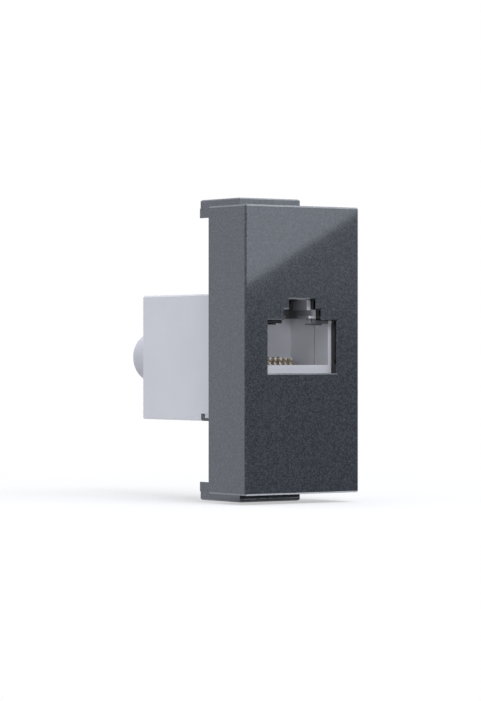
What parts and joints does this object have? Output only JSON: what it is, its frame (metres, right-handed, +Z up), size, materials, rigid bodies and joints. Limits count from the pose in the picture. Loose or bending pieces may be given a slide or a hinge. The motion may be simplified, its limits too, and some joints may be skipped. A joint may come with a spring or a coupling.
{
  "type": "ethernet wall socket",
  "caption": "Snap-in data outlet for a wall plate: slim dark cover with a stepped port, snap tongues above and below, and a wired jack with a cable collar behind.",
  "frame": {"origin": "centre of the plane where the cover's rear rim seats on its wall plate's frame", "axes": "+X to the right as the room sees it, +Y into the wall, +Z up"},
  "size_m": [0.022, 0.0424, 0.048],
  "materials": {
    "graphite_lacquer": "satin metallic",
    "graphite_plastic": "satin",
    "light_grey_plastic": "satin",
    "gilded_contact": "polished",
    "board_laminate": "satin",
    "terminal_plastic": "matte",
    "tinned_blade": "satin",
    "black_plastic": "satin"
  },
  "bodies": {
    "socket": {"front_cover": "graphite_lacquer", "mounting_frame": "graphite_plastic", "jack_front_shell": "light_grey_plastic", "latch_guide": "black_plastic", "jack_housing": "light_grey_plastic", "contact_carrier": "light_grey_plastic", "contact_1": "gilded_contact", "contact_2": "gilded_contact", "contact_3": "gilded_contact", "contact_4": "gilded_contact", "contact_5": "gilded_contact", "contact_6": "gilded_contact", "contact_7": "gilded_contact", "contact_8": "gilded_contact", "circuit_board": "board_laminate", "terminal_block_upper": "terminal_plastic", "terminal_block_lower": "terminal_plastic", "terminal_blade_upper_1": "tinned_blade", "terminal_blade_upper_2": "tinned_blade", "terminal_blade_upper_3": "tinned_blade", "terminal_blade_upper_4": "tinned_blade", "terminal_blade_lower_1": "tinned_blade", "terminal_blade_lower_2": "tinned_blade", "terminal_blade_lower_3": "tinned_blade", "terminal_blade_lower_4": "tinned_blade", "jack_clip": "black_plastic"},
    "cap": {"rear_cap": "light_grey_plastic"}
  },
  "joints": [
    {"name": "cap_slide", "type": "slide", "parent": "socket", "child": "cap", "axis": [0, 1, 0], "range_m": [0, 0.01]}
  ]
}
